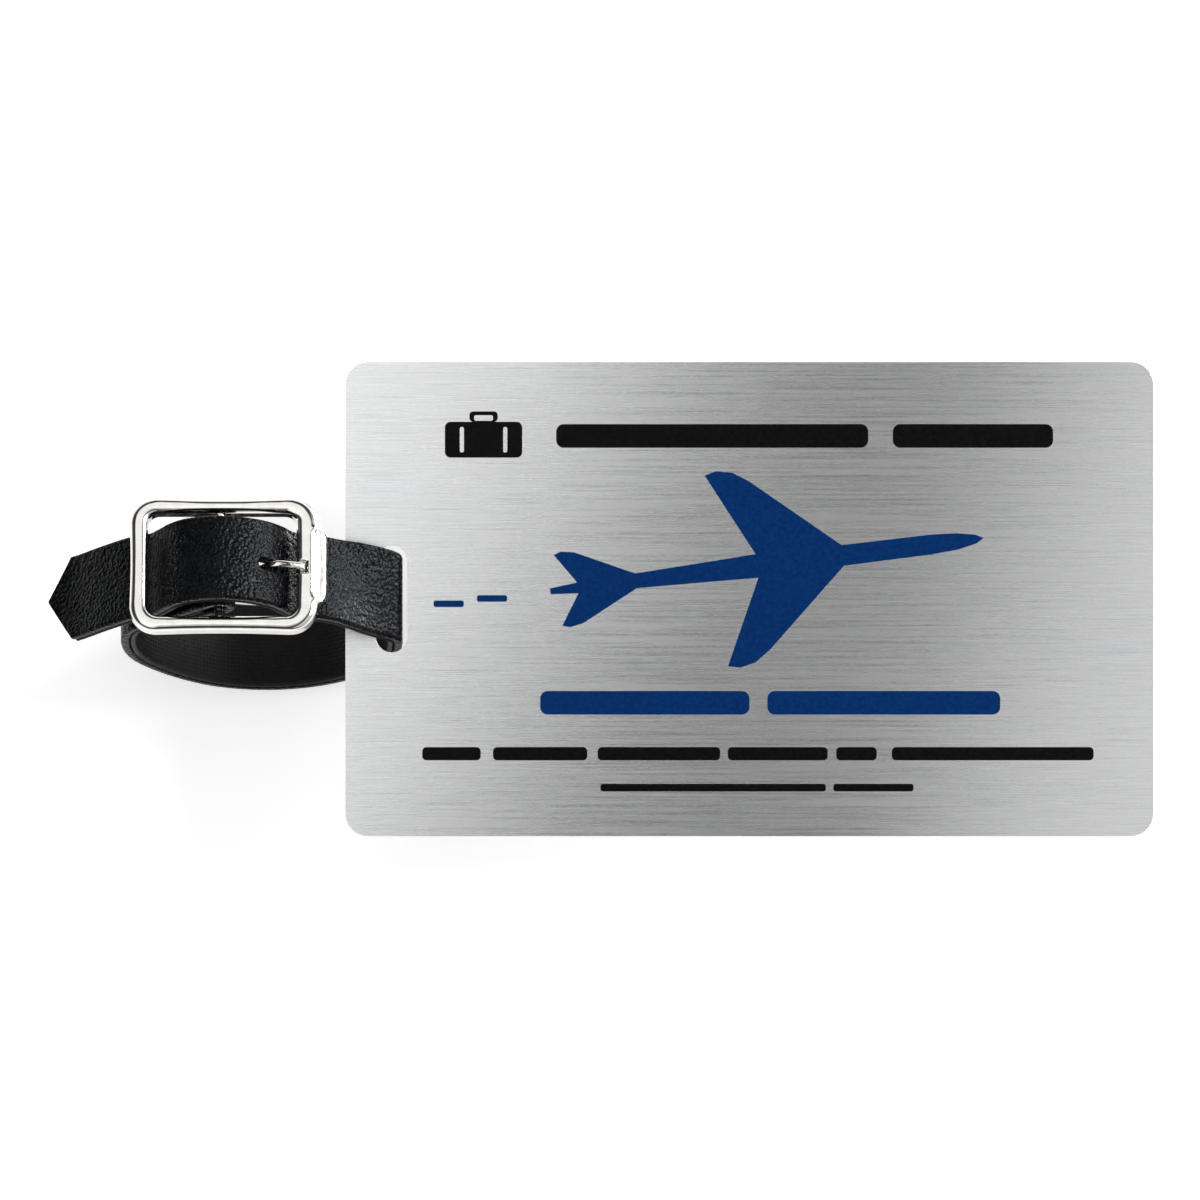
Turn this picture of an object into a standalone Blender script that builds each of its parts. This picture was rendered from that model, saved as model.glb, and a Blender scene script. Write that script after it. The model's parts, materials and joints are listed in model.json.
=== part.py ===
"""Luggage tag: a brushed metal name plate on a buckled leather strap.

The tag lies as it would on a table: the right edge of the plate and the lowest point of the strap's loop
touch the ground, and the origin is under the middle of the object. Three nested frames place the pieces:
tag_frame is the plate's own frame, pitched up at the strap's end, loop_frame leans with the strap's loop,
and each moving piece hangs on a pivot empty that stands on its joint's axis. In loop_frame, X runs along
the plate, Y across the strap's width, and Z up through the buckle.
"""

import math

import bmesh
import bpy
from mathutils import Matrix, Vector

MM = 0.001

# Plate
PLATE_LENGTH = 85.7
PLATE_WIDTH = 50.3
PLATE_THICKNESS = 1.2
PLATE_CORNER_RADIUS = 2.4
PLATE_CHAMFER = 0.2
SLOT_X = -37.95
SLOT_WIDTH = 3.3
SLOT_LENGTH = 11.3

# Strap: a leather face on a woven backing
STRAP_WIDTH = 9.3
LEATHER_THICKNESS = 0.9
BACKING_THICKNESS = 0.5
BOND_GAP = 0.1
LOOP_LEAN = math.radians(21)
TWIST_STARTS = 2.5
TWIST_ENDS = 9.5
LOOP_CENTRE = (-51.45, -0.6)
LOOP_RADIUS = 14.6

# Strap's outer face from the end of the tail, over the buckle's bar, to the mouth of the plate's slot
TAIL_POINTS = (
    (-76.2, -2.0),
    (-74.5, -1.0),
    (-71.9, 0.7),
    (-68.5, 4.0),
    (-65.3, 6.7),
    (-63.6, 7.45),
    (-62.6, 8.7),
    (-61.4, 10.4),
    (-59.8, 11.75),
    (-56.7, 12.7),
    (-53.6, 12.3),
    (-51.0, 11.1),
    (-49.3, 9.5),
    (-48.4, 8.2),
    (-47.5, 7.35),
    (-46.2, 6.85),
    (-44.6, 6.4),
    (-42.05, 4.85),
    (-39.75, 3.15),
)
# Strap's outer face where it leaves the loop's round part and turns in under the tail
RETURN_POINTS = (
    (-60.75, -11.75),
    (-63.4, -9.2),
    (-65.45, -6.4),
    (-66.4, -3.5),
    (-66.6, -0.6),
    (-66.35, 1.4),
    (-65.6, 3.05),
    (-64.4, 4.3),
)
LOOP_LAST_ANGLE = -115.0
SLOT_BEND_RADIUS = 2.6
SLOT_BEND_FIRST_ANGLE = 52.0
SLOT_BEND_RAISED = 0.3
TAIL_TIP_X = -74.5
TAIL_SHOULDER_X = -72.0

# Fold of the strap's fixed end round the buckle's centre bar
BAR_CENTRE = (-56.0, 9.2)
BAR_RADIUS = 0.6
FOLD_CLEARANCE = 0.12
FOLD_SLOPE = math.radians(40)
FOLD_CLOSING = math.radians(18)
WRAP_RADIUS = BAR_RADIUS + FOLD_CLEARANCE + LEATHER_THICKNESS
FOLD_STACK = 2 * LEATHER_THICKNESS + BACKING_THICKNESS + 2.5 * BOND_GAP
FIXED_STRAIGHT = 7.4
FOLD_BACK_LENGTH = 4.0
BACKING_STOPS_BEFORE_BAR = 2.0

# Rivet through the fold
RIVET_FROM_BAR = 4.3
RIVET_HEAD_RADIUS = 1.5
RIVET_HEAD_THICKNESS = 0.4
RIVET_SHANK_RADIUS = 0.65
RIVET_CLEARANCE = 0.1

# Buckle
FRAME_LEFT = -65.6
FRAME_RIGHT = -45.7
FRAME_LIP = -44.7
FRAME_MIDDLE_Y = 0.1
FRAME_HALF_HEIGHT = 7.6
FRAME_WAIST = 0.4
FRAME_LOW = 8.1
FRAME_HIGH = 10.5
FRAME_EDGE = 0.5
FRAME_CORNER_RADIUS = 2.8
WINDOW_LEFT = -63.6
WINDOW_RIGHT = -47.9
WINDOW_HALF_HEIGHT = 5.85
WINDOW_CORNER_RADIUS = 1.3
LIP_HALF_HEIGHT = 4.0
BAR_SEAT_DEPTH = 0.8
BAR_SEAT_CLEARANCE = 0.08

# Prong
PRONG_Y = -0.3
PRONG_WIDTH = 0.8
PRONG_THICKNESS = 0.5
PRONG_EYE_CLEARANCE = 0.08
PRONG_EYE_WALL = 0.55
PRONG_POINTS = (
    (-55.1, 9.45),
    (-54.0, 9.45),
    (-52.3, 9.5),
    (-51.3, 10.05),
    (-50.6, 10.85),
    (-49.9, 11.2),
    (-49.1, 11.1),
    (-47.0, 10.42),
)
HOLE_CENTRE = (-50.9, 11.0)
HOLE_SLOPE = math.radians(34)
HOLE_LENGTH = 2.7
HOLE_WIDTH = 1.3
SLIT_REACH = 2.9
SLIT_RADIUS = 1.75
NOTCH_DEPTH = 0.45
NOTCH_WIDTH = 1.3

MATERIALS = {
    "brushed_metal": ((0.62, 0.62, 0.63, 1.0), 1.0, 0.32),
    "black_leather": ((0.012, 0.012, 0.013, 1.0), 0.0, 0.45),
    "woven_backing": ((0.010, 0.010, 0.011, 1.0), 0.0, 0.8),
    "nickel": ((0.78, 0.76, 0.72, 1.0), 1.0, 0.08),
    "rivet_steel": ((0.55, 0.55, 0.55, 1.0), 1.0, 0.2),
}


def clear_scene():
    for obj in list(bpy.data.objects):
        bpy.data.objects.remove(obj, do_unlink=True)


def new_collection(name):
    collection = bpy.data.collections.new(name)
    bpy.context.scene.collection.children.link(collection)
    return collection


def new_material(name):
    colour, metallic, roughness = MATERIALS[name]
    made = bpy.data.materials.new(name)
    made.use_nodes = True
    shader = made.node_tree.nodes["Principled BSDF"]
    shader.inputs["Base Color"].default_value = colour
    shader.inputs["Metallic"].default_value = metallic
    shader.inputs["Roughness"].default_value = roughness
    return made


def new_empty(name, parent, location=(0, 0, 0), rotation=(0, 0, 0)):
    empty = bpy.data.objects.new(name, None)
    empty.empty_display_size = 5 * MM
    empty.location = Vector(location) * MM
    empty.rotation_euler = rotation
    empty.parent = parent
    parts.objects.link(empty)
    return empty


def add_object(name, mesh, parent, location=(0, 0, 0), rotation=(0, 0, 0), collection=None):
    """Place a mesh made in millimetres."""
    mesh.transform(scale_to_metres)
    obj = bpy.data.objects.new(name, mesh)
    obj.location = Vector(location) * MM
    obj.rotation_euler = rotation
    obj.parent = parent
    (collection or parts).objects.link(obj)
    return obj


def finish(obj, material_name, sharp=math.radians(35)):
    obj.data.materials.append(materials[material_name])
    obj.data.shade_smooth()
    obj.data.set_sharp_from_angle(angle=sharp)


def mesh_from(bm, name):
    bmesh.ops.recalc_face_normals(bm, faces=bm.faces)
    mesh = bpy.data.meshes.new(name)
    bm.to_mesh(mesh)
    bm.free()
    return mesh


def add_cutter(name, mesh, parent, location=(0, 0, 0), rotation=(0, 0, 0)):
    cutter = add_object(name, mesh, parent, location, rotation, cutters)
    cutter.hide_render = True
    cutter.display_type = "WIRE"
    return cutter


def cut(obj, cutter):
    modifier = obj.modifiers.new(cutter.name, "BOOLEAN")
    modifier.operation = "DIFFERENCE"
    modifier.solver = "EXACT"
    modifier.object = cutter


def box_mesh(name, low, high):
    bm = bmesh.new()
    bmesh.ops.create_cube(bm, size=1.0)
    size = [b - a for a, b in zip(low, high)]
    middle = [(a + b) / 2 for a, b in zip(low, high)]
    bmesh.ops.scale(bm, verts=bm.verts, vec=size)
    bmesh.ops.translate(bm, verts=bm.verts, vec=middle)
    return mesh_from(bm, name)


def rod_mesh(name, radius, low, high, sides=28):
    """Cylinder along Z from low to high."""
    bm = bmesh.new()
    bmesh.ops.create_cone(
        bm, cap_ends=True, segments=sides, radius1=radius, radius2=radius, depth=high - low
    )
    bmesh.ops.translate(bm, verts=bm.verts, vec=(0, 0, (low + high) / 2))
    return mesh_from(bm, name)


def arc(centre, radius, first, last, step=8.0):
    """Points on a circle from one angle to another, in degrees, the shorter the step the smoother."""
    count = max(2, math.ceil(abs(last - first) / step))
    angles = [math.radians(first + (last - first) * i / count) for i in range(count + 1)]
    return [
        (centre[0] + radius * math.cos(a), centre[1] + radius * math.sin(a)) for a in angles
    ]


def smooth_path(knots, longest=1.6, most_turn=math.radians(9), fine=16):
    """Centripetal Catmull-Rom curve through the knots, with points where it bends and few where it is straight."""
    points = [Vector(k) for k in knots]
    points = [2 * points[0] - points[1]] + points + [2 * points[-1] - points[-2]]
    dense = []
    for p0, p1, p2, p3 in zip(points, points[1:], points[2:], points[3:]):
        t01, t12, t23 = (math.sqrt((b - a).length) for a, b in ((p0, p1), (p1, p2), (p2, p3)))
        leave = (p2 - p1) + t12 * ((p1 - p0) / t01 - (p2 - p0) / (t01 + t12))
        arrive = (p2 - p1) + t12 * ((p3 - p2) / t23 - (p3 - p1) / (t12 + t23))
        for i in range(fine):
            t = i / fine
            blend = t * t * (3 - 2 * t)
            dense.append(
                p1.lerp(p2, blend) + leave * t * (1 - t) ** 2 - arrive * t * t * (1 - t)
            )
    dense.append(points[-2])
    kept = [dense[0]]
    heading = dense[1] - dense[0]
    for here, after in zip(dense[1:], dense[2:]):
        turned = abs(heading.angle_signed(after - here))
        if turned > most_turn or (here - kept[-1]).length > longest:
            kept.append(here)
            heading = after - here
    return kept + [dense[-1]]


def offset_path(path, distance, closed=False):
    """Path moved sideways, to the right of its direction of travel."""
    moved = []
    last = len(path) - 1
    for i, point in enumerate(path):
        before = path[i - 1] if i or closed else None
        after = path[(i + 1) % len(path)] if i < last or closed else None
        into = (Vector(point) - Vector(before)).normalized() if before is not None else None
        out = (Vector(after) - Vector(point)).normalized() if after is not None else into
        into = out if into is None else into
        side = Vector((into.y + out.y, -into.x - out.x)).normalized()
        square = Vector((into.y, -into.x)).dot(side)
        moved.append(Vector(point) + side * (distance / square))
    return moved


def add_ribbon(name, path, width, thickness, parent, offset=-1.0, skews=None):
    """Strip along a path in the loop's plane, as thick as asked on the right of the direction of travel.

    Skews hold the angle at each point between the strip's width and the Y axis.
    """
    skews = skews or [0.0] * len(path)
    bm = bmesh.new()
    rows = []
    for w in (-width / 2, 0, width / 2):
        rows.append(
            [
                bm.verts.new((x, w * math.cos(skew), z + w * math.sin(skew)))
                for (x, z), skew in zip(path, skews)
            ]
        )
    for near, far in zip(rows, rows[1:]):
        for i in range(len(path) - 1):
            bm.faces.new((near[i], near[i + 1], far[i + 1], far[i]))
    bmesh.ops.triangulate(bm, faces=bm.faces, quad_method="FIXED")
    mesh = bpy.data.meshes.new(name)
    bm.to_mesh(mesh)
    bm.free()
    strip = add_object(name, mesh, parent)
    solidify = strip.modifiers.new("thickness", "SOLIDIFY")
    solidify.thickness = thickness * MM
    solidify.offset = offset
    solidify.use_even_offset = True
    return strip


def outline_mesh(name, loops, thickness, edge, edge_steps):
    """Flat piece between outlines, centred on Z = 0, with rounded or chamfered rims.

    The outer loop runs clockwise and each hole runs counter-clockwise, so the material is on the right.
    """
    curve = bpy.data.curves.new(name, "CURVE")
    curve.dimensions = "2D"
    curve.fill_mode = "BOTH"
    curve.extrude = thickness / 2 - edge
    curve.bevel_depth = edge
    curve.bevel_resolution = edge_steps
    for loop in loops:
        inset = offset_path(loop, edge, closed=True)
        spline = curve.splines.new("POLY")
        spline.points.add(len(inset) - 1)
        for point, (x, y) in zip(spline.points, inset):
            point.co = (x, y, 0, 1)
        spline.use_cyclic_u = True
    holder = bpy.data.objects.new(name + "_outline", curve)
    cutters.objects.link(holder)
    bpy.context.view_layer.update()
    evaluated = holder.evaluated_get(bpy.context.evaluated_depsgraph_get())
    mesh = bpy.data.meshes.new_from_object(evaluated)
    bpy.data.objects.remove(holder)
    bm = bmesh.new()
    bm.from_mesh(mesh)
    bmesh.ops.remove_doubles(bm, verts=bm.verts, dist=0.001)
    return mesh_from(bm, name)


def rounded(corners, step=15.0):
    """Closed outline through (x, y, radius) corners, each rounded off with an arc."""
    outline = []
    for i, (x, y, radius) in enumerate(corners):
        corner = Vector((x, y))
        before = (Vector(corners[i - 1][:2]) - corner).normalized()
        after = (Vector(corners[(i + 1) % len(corners)][:2]) - corner).normalized()
        if radius == 0:
            outline.append(corner)
            continue
        half = before.angle(after) / 2
        reach = radius / math.tan(half)
        centre = corner + (before + after).normalized() * (radius / math.sin(half))
        first = corner + before * reach - centre
        last = corner + after * reach - centre
        turn = math.atan2(first.cross(last), first.dot(last))
        count = max(4, math.ceil(abs(math.degrees(turn)) / step))
        for k in range(count + 1):
            a = math.atan2(first.y, first.x) + turn * k / count
            outline.append(centre + radius * Vector((math.cos(a), math.sin(a))))
    return outline


def rest_pitch():
    """Angle that sets the plate's right edge and the loop's lowest point on one level."""
    lean_sin, lean_cos = math.sin(LOOP_LEAN), math.cos(LOOP_LEAN)
    reach = PLATE_LENGTH / 2 - PLATE_CHAMFER - LOOP_CENTRE[0]
    drop = STRAP_WIDTH / 2 * lean_sin - LOOP_CENTRE[1] * lean_cos - PLATE_THICKNESS / 2
    pitch = 0.0
    for _ in range(12):
        flattened = math.hypot(math.sin(pitch), lean_cos * math.cos(pitch))
        pitch = math.asin((LOOP_RADIUS * flattened + drop * math.cos(pitch)) / reach)
    return pitch


def build_plate():
    half_length, half_width = PLATE_LENGTH / 2, PLATE_WIDTH / 2
    radius = PLATE_CORNER_RADIUS
    rim = rounded(
        [
            (-half_length, -half_width, radius),
            (-half_length, half_width, radius),
            (half_length, half_width, radius),
            (half_length, -half_width, radius),
        ]
    )
    end = SLOT_WIDTH / 2
    straight = SLOT_LENGTH / 2 - end
    slot = arc((SLOT_X, straight), end, 0, 180, 15) + arc((SLOT_X, -straight), end, 180, 360, 15)
    mesh = outline_mesh("tag_plate", [rim, slot], PLATE_THICKNESS, PLATE_CHAMFER, 0)
    to_plate_centre = (-LOOP_CENTRE[0], 0, -LOOP_CENTRE[1])
    plate = add_object("tag_plate", mesh, plate_pivot, to_plate_centre, (LOOP_LEAN, 0, 0))
    finish(plate, "brushed_metal", math.radians(20))


def strap_path():
    """Outer face of the leather in three stretches: up to the bar, round it, and folded back."""
    bar = Vector(BAR_CENTRE)
    along = Vector((-math.cos(FOLD_SLOPE), -math.sin(FOLD_SLOPE)))
    outward = Vector((-math.sin(FOLD_SLOPE), math.cos(FOLD_SLOPE)))
    bend_centre = (
        LOOP_CENTRE[0] + LOOP_RADIUS - SLOT_BEND_RADIUS,
        LOOP_CENTRE[1] + SLOT_BEND_RAISED,
    )
    into_slot = arc(bend_centre, SLOT_BEND_RADIUS, SLOT_BEND_FIRST_ANGLE, 0)
    round_part = into_slot + arc(LOOP_CENTRE, LOOP_RADIUS, 0, LOOP_LAST_ANGLE)[1:]
    touch = bar + WRAP_RADIUS * outward
    fixed_start = touch + FIXED_STRAIGHT * along
    fixed_end = touch + BACKING_STOPS_BEFORE_BAR * along
    straight = [fixed_start, (fixed_start + fixed_end) / 2, fixed_end]
    to_bar = smooth_path(list(TAIL_POINTS) + round_part + list(RETURN_POINTS) + straight)

    first_angle = 90 + math.degrees(FOLD_SLOPE)
    last_angle = first_angle - 180 - math.degrees(FOLD_CLOSING)
    fold = [Vector(p) for p in arc(BAR_CENTRE, WRAP_RADIUS, first_angle, last_angle, 12)]
    closing = Vector((-math.cos(FOLD_SLOPE - FOLD_CLOSING), -math.sin(FOLD_SLOPE - FOLD_CLOSING)))
    to_close = (bar - fold[-1]).dot(outward) - (FOLD_STACK - WRAP_RADIUS)
    closed = fold[-1] + closing * (to_close / math.sin(FOLD_CLOSING))
    return to_bar, fold, [closed, closed + FOLD_BACK_LENGTH * along]


def twist_of(path):
    """How far the strap's width has turned from the loop's lean to the slot's direction, at each point.

    The strap lies along the slot where it passes through the plate, and leans with the loop elsewhere.
    """
    lengths = [0.0]
    for before, here in zip(path, path[1:]):
        lengths.append(lengths[-1] + (here - before).length)
    slot_index = max(range(len(path)), key=lambda i: path[i].x)
    twists = []
    for length in lengths:
        away = (abs(length - lengths[slot_index]) - TWIST_STARTS) / (TWIST_ENDS - TWIST_STARTS)
        away = min(1.0, max(0.0, away))
        twists.append(LOOP_LEAN * (1 - away * away * (3 - 2 * away)))
    return twists


def prism_mesh(name, outline, low, high):
    """Outline in X and Y, pulled up from low to high."""
    bm = bmesh.new()
    face = bm.faces.new([bm.verts.new((x, y, low)) for x, y in outline])
    grown = bmesh.ops.extrude_face_region(bm, geom=[face])["geom"]
    top = [item for item in grown if isinstance(item, bmesh.types.BMVert)]
    bmesh.ops.translate(bm, verts=top, vec=(0, 0, high - low))
    return mesh_from(bm, name)


def tail_point_cutters():
    """Two wedges that leave the end of the tail as a point."""
    made = []
    half = STRAP_WIDTH / 2
    slope = half / (TAIL_SHOULDER_X - TAIL_TIP_X)
    for side, name in ((1, "tail_point_left"), (-1, "tail_point_right")):
        wedge = [
            (TAIL_TIP_X - 3.0, -side * 3.0 * slope),
            (TAIL_SHOULDER_X + 1.0, side * (half + slope)),
            (TAIL_TIP_X - 3.0, side * (half + slope)),
        ]
        made.append(add_cutter(name, prism_mesh(name, wedge, -8.0, 4.0), loop_frame))
    return made


def build_strap():
    to_bar, fold, fold_back = strap_path()
    face_path = to_bar + fold + fold_back
    backing_path = offset_path(to_bar, LEATHER_THICKNESS + BOND_GAP)
    twists = twist_of(face_path)
    leather = add_ribbon(
        "strap_leather", face_path, STRAP_WIDTH, LEATHER_THICKNESS, loop_frame, skews=twists
    )
    backing = add_ribbon(
        "strap_backing", backing_path, STRAP_WIDTH, BACKING_THICKNESS, loop_frame, skews=twists
    )

    end = HOLE_WIDTH / 2
    straight = (HOLE_LENGTH - HOLE_WIDTH) / 2
    oval = arc((straight, 0), end, -90, 90, 15) + arc((-straight, 0), end, 90, 270, 15)
    hole = add_cutter(
        "prong_hole",
        prism_mesh("prong_hole", oval, -2.2, 1.0),
        loop_frame,
        (HOLE_CENTRE[0], PRONG_Y, HOLE_CENTRE[1]),
        (0, HOLE_SLOPE, 0),
    )
    slit_half = PRONG_WIDTH / 2 + 0.25
    slit_side = [(-SLIT_REACH, -2.2), (0, -2.2)] + arc((0, 0), SLIT_RADIUS, -90, 90, 13)
    slit_side.append((-SLIT_REACH, SLIT_RADIUS))
    slit = add_cutter(
        "fold_slit",
        prism_mesh("fold_slit", slit_side, -slit_half, slit_half),
        fold_frame,
        (0, PRONG_Y, 0),
        (math.radians(90), 0, 0),
    )
    rivet_hole = add_cutter(
        "rivet_hole",
        rod_mesh("rivet_hole", RIVET_SHANK_RADIUS + RIVET_CLEARANCE, -3.1, 0.45, 20),
        rivet_frame,
    )
    tips = tail_point_cutters()
    for strip in (leather, backing):
        for cutter in tips + [hole, slit, rivet_hole]:
            cut(strip, cutter)
    finish(leather, "black_leather")
    finish(backing, "woven_backing")


def add_turned(name, profile, parent, steps=24):
    """Piece turned about Z from an (r, z) profile that runs down its outer side, first point on the axis."""
    bm = bmesh.new()
    row = [bm.verts.new((r, 0, z)) for r, z in profile]
    for pair in zip(row, row[1:]):
        bm.edges.new(pair)
    mesh = bpy.data.meshes.new(name)
    bm.to_mesh(mesh)
    bm.free()
    turned = add_object(name, mesh, parent)
    screw = turned.modifiers.new("turn", "SCREW")
    screw.steps = steps
    screw.render_steps = steps
    screw.use_merge_vertices = True
    screw.merge_threshold = 0.00001
    screw.use_smooth_shade = True
    return turned


def build_rivet():
    """Post with its head inside the loop, and a domed cap on the strap's fixed layer. Z = 0 is that face."""
    under = -FOLD_STACK - RIVET_CLEARANCE
    bottom = under - RIVET_HEAD_THICKNESS
    head, shank = RIVET_HEAD_RADIUS, RIVET_SHANK_RADIUS
    post_top = 0.28
    post = add_turned(
        "rivet_post",
        [
            (0, post_top),
            (shank, post_top),
            (shank, under),
            (head, under),
            (head, bottom + 0.15),
            (head - 0.25, bottom),
            (0, bottom),
        ],
        rivet_frame,
    )
    socket = shank + RIVET_CLEARANCE
    cap = add_turned(
        "rivet_cap",
        [
            (0, 0.52),
            (head * 0.55, 0.47),
            (head * 0.88, 0.33),
            (head, 0.16),
            (head, RIVET_CLEARANCE),
            (socket, RIVET_CLEARANCE),
            (socket, post_top + 0.08),
            (0, post_top + 0.08),
        ],
        rivet_frame,
    )
    finish(post, "rivet_steel")
    finish(cap, "rivet_steel")


def build_buckle_frame():
    top, waist = FRAME_HALF_HEIGHT, FRAME_HALF_HEIGHT - FRAME_WAIST
    middle = (FRAME_LEFT + FRAME_RIGHT) / 2
    radius = FRAME_CORNER_RADIUS
    outer = rounded(
        [
            (FRAME_LEFT, -top, radius),
            (FRAME_LEFT + 0.2, 0, 120),
            (FRAME_LEFT, top, radius),
            (middle, waist, 160),
            (FRAME_RIGHT, top, radius),
            (FRAME_RIGHT, LIP_HALF_HEIGHT + 0.5, 0.4),
            (FRAME_LIP, LIP_HALF_HEIGHT - 0.5, 0.6),
            (FRAME_LIP, 0.5 - LIP_HALF_HEIGHT, 0.6),
            (FRAME_RIGHT, -LIP_HALF_HEIGHT - 0.5, 0.4),
            (FRAME_RIGHT, -top, radius),
            (middle, -waist, 160),
        ]
    )
    half = WINDOW_HALF_HEIGHT
    window = rounded(
        [
            (WINDOW_LEFT, -half, WINDOW_CORNER_RADIUS),
            (WINDOW_RIGHT, -half, WINDOW_CORNER_RADIUS),
            (WINDOW_RIGHT, half, WINDOW_CORNER_RADIUS),
            (WINDOW_LEFT, half, WINDOW_CORNER_RADIUS),
        ]
    )
    mesh = outline_mesh("buckle_frame", [outer, window], FRAME_HIGH - FRAME_LOW, FRAME_EDGE, 1)
    level = (FRAME_LOW + FRAME_HIGH) / 2
    from_bar = (-BAR_CENTRE[0], FRAME_MIDDLE_Y, level - BAR_CENTRE[1])
    frame = add_object("buckle_frame", mesh, buckle_pivot, from_bar)

    reach = WINDOW_HALF_HEIGHT + BAR_SEAT_DEPTH
    seat = add_cutter(
        "bar_seat",
        rod_mesh("bar_seat", BAR_RADIUS + BAR_SEAT_CLEARANCE, -reach, reach),
        buckle_pivot,
        (0, FRAME_MIDDLE_Y, 0),
        (math.radians(90), 0, 0),
    )
    notch_floor = FRAME_HIGH - NOTCH_DEPTH - BAR_CENTRE[1]
    notch_end = PRONG_POINTS[-1][0] + 0.3 - BAR_CENTRE[0]
    notch = add_cutter(
        "prong_notch",
        box_mesh(
            "prong_notch",
            (WINDOW_RIGHT - 1.0 - BAR_CENTRE[0], -NOTCH_WIDTH / 2, notch_floor),
            (notch_end, NOTCH_WIDTH / 2, notch_floor + 2.0),
        ),
        buckle_pivot,
        (0, PRONG_Y, 0),
    )
    cut(frame, seat)
    cut(frame, notch)
    finish(frame, "nickel")


def build_centre_bar():
    """Straight pin whose ends sit in the two rails."""
    half = WINDOW_HALF_HEIGHT + BAR_SEAT_DEPTH - BAR_SEAT_CLEARANCE
    mesh = rod_mesh("buckle_center_bar", BAR_RADIUS, -half, half)
    bar = add_object(
        "buckle_center_bar", mesh, buckle_pivot, (0, FRAME_MIDDLE_Y, 0), (math.radians(90), 0, 0)
    )
    finish(bar, "nickel")


def build_prong():
    """Eye round the centre bar, and an arm that comes up through the strap and rests in the toe bar's notch."""
    inner = BAR_RADIUS + PRONG_EYE_CLEARANCE
    outer = inner + PRONG_EYE_WALL
    half = PRONG_WIDTH / 2
    eye = add_object(
        "buckle_prong",
        rod_mesh("buckle_prong", outer, -half, half),
        prong_pivot,
        (0, 0, 0),
        (math.radians(90), 0, 0),
    )
    bore = add_cutter(
        "prong_bore",
        rod_mesh("prong_bore", inner, -half - 1.0, half + 1.0),
        prong_pivot,
        (0, 0, 0),
        (math.radians(90), 0, 0),
    )
    bar = Vector(BAR_CENTRE)
    line = smooth_path([Vector(p) - bar for p in PRONG_POINTS], longest=1.2)
    arm = add_ribbon("prong_arm", line, PRONG_WIDTH, PRONG_THICKNESS, prong_pivot, offset=0.0)
    parts.objects.unlink(arm)
    cutters.objects.link(arm)
    arm.hide_render = True
    arm.display_type = "WIRE"
    join = eye.modifiers.new("arm", "BOOLEAN")
    join.operation = "UNION"
    join.solver = "EXACT"
    join.object = arm
    cut(eye, bore)
    finish(eye, "nickel")


def seat_on_ground():
    """Move the whole tag so that the middle of its box stands on the origin."""
    bpy.context.view_layer.update()
    graph = bpy.context.evaluated_depsgraph_get()
    corners = []
    for obj in parts.objects:
        if obj.type == "MESH":
            solid = obj.evaluated_get(graph)
            corners += [solid.matrix_world @ vertex.co for vertex in solid.data.vertices]
    low = [min(corner[i] for corner in corners) for i in range(3)]
    high = [max(corner[i] for corner in corners) for i in range(3)]
    tag_frame.location = (-(low[0] + high[0]) / 2, -(low[1] + high[1]) / 2, -low[2])


clear_scene()
scale_to_metres = Matrix.Scale(MM, 4)
parts = new_collection("luggage_tag")
cutters = new_collection("cutters")
materials = {name: new_material(name) for name in MATERIALS}

tag_frame = new_empty("tag_frame", None, rotation=(0, rest_pitch(), 0))
loop_frame = new_empty("loop_frame", tag_frame, rotation=(-LOOP_LEAN, 0, 0))
plate_pivot = new_empty("plate_pivot", loop_frame, (LOOP_CENTRE[0], 0, LOOP_CENTRE[1]))
buckle_pivot = new_empty("buckle_pivot", loop_frame, (BAR_CENTRE[0], 0, BAR_CENTRE[1]))
prong_pivot = new_empty("prong_pivot", buckle_pivot, (0, PRONG_Y, 0))
fold_frame = new_empty(
    "fold_frame", loop_frame, (BAR_CENTRE[0], 0, BAR_CENTRE[1]), (0, -FOLD_SLOPE, 0)
)
rivet_frame = new_empty("rivet_frame", fold_frame, (-RIVET_FROM_BAR, 0, WRAP_RADIUS))

build_plate()
build_strap()
build_rivet()
build_buckle_frame()
build_centre_bar()
build_prong()
seat_on_ground()
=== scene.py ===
"""Looks of the luggage tag: brushed and printed plate, grained leather strap, polished nickel buckle.

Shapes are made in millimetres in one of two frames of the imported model. The plate's frame has its origin in
the middle of the plate, X along it and Z out of its printed face. The loop's frame shares that origin and X,
and its Y runs across the strap's width.
"""

import json
import math

import bmesh
import bpy
import numpy as np
from mathutils import Matrix, Vector


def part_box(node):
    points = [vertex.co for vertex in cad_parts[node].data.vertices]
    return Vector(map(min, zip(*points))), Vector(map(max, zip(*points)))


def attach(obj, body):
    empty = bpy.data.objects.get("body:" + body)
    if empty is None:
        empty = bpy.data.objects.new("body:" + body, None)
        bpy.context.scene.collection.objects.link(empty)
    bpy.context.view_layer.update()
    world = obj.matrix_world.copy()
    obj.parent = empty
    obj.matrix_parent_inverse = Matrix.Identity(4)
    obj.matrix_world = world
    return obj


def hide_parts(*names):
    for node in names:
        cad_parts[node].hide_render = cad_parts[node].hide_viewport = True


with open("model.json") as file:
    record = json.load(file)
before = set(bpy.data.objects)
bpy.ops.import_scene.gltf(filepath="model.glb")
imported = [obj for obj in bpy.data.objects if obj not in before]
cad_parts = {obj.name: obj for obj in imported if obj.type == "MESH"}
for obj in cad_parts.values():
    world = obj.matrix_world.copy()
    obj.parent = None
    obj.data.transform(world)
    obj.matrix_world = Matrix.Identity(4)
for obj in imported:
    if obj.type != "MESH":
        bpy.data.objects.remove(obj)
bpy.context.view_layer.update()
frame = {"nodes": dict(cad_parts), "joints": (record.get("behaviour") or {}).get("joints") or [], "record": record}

MM = 0.001

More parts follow.
